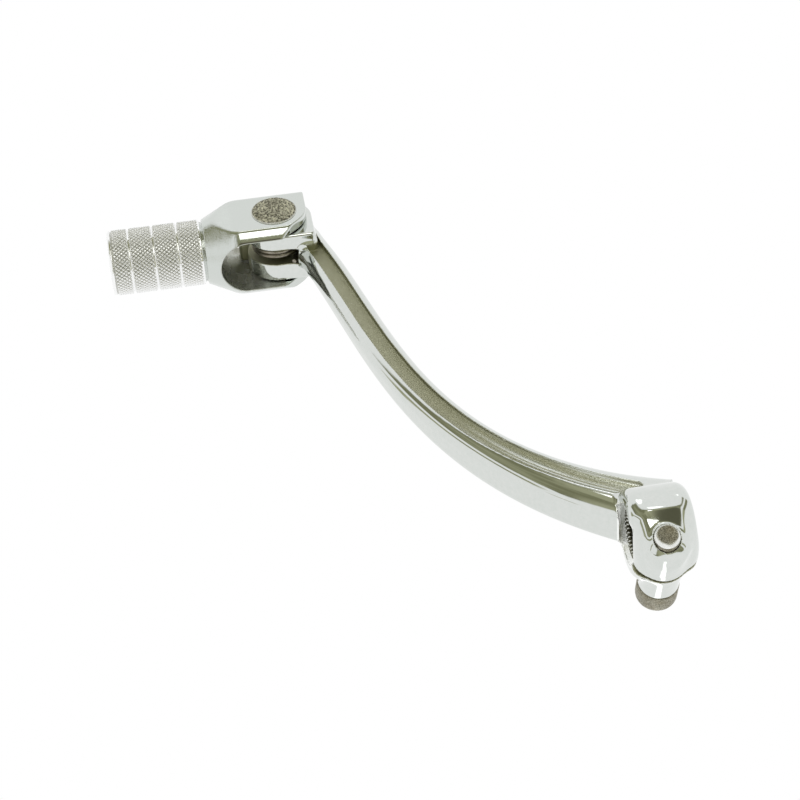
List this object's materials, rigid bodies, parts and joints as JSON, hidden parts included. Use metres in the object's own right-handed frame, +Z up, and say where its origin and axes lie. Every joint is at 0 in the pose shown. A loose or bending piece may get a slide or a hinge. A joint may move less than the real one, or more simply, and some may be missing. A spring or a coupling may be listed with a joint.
{
  "type": "gear shift lever",
  "caption": "Forged motorcycle gear shift lever with a split splined clamp, a curved recessed arm and a spring-returned folding toe peg.",
  "frame": {"origin": "centre of the splined bore, on the plane of the pinch bolt's axis", "axes": "+X forward from the shift shaft towards the toe, +Y along the shift shaft, away from the engine, +Z up, along the fold pivot"},
  "size_m": [0.1544, 0.122, 0.0305],
  "materials": {
    "polished_aluminium": "polished forging",
    "knurled_aluminium": "turned, diamond knurled",
    "raw_steel": "peened, grainy, slightly browned",
    "spring_steel": "drawn wire",
    "bolt_steel": "dull, browned"
  },
  "bodies": {
    "lever": {"lever_arm": "polished_aluminium", "return_spring": "spring_steel", "pinch_bolt": "bolt_steel"},
    "peg": {"toe_peg": "knurled_aluminium", "pivot_rivet": "raw_steel"}
  },
  "joints": [
    {"name": "peg_fold", "type": "hinge", "parent": "lever", "child": "peg", "pos_m": [0.1286, 0.0709, 0], "axis": [0, 0, 1], "range_deg": [0, 75], "stiffness_Nm_per_rad": 0.2, "springref_deg": -34.38, "deforming": ["return_spring"]}
  ]
}
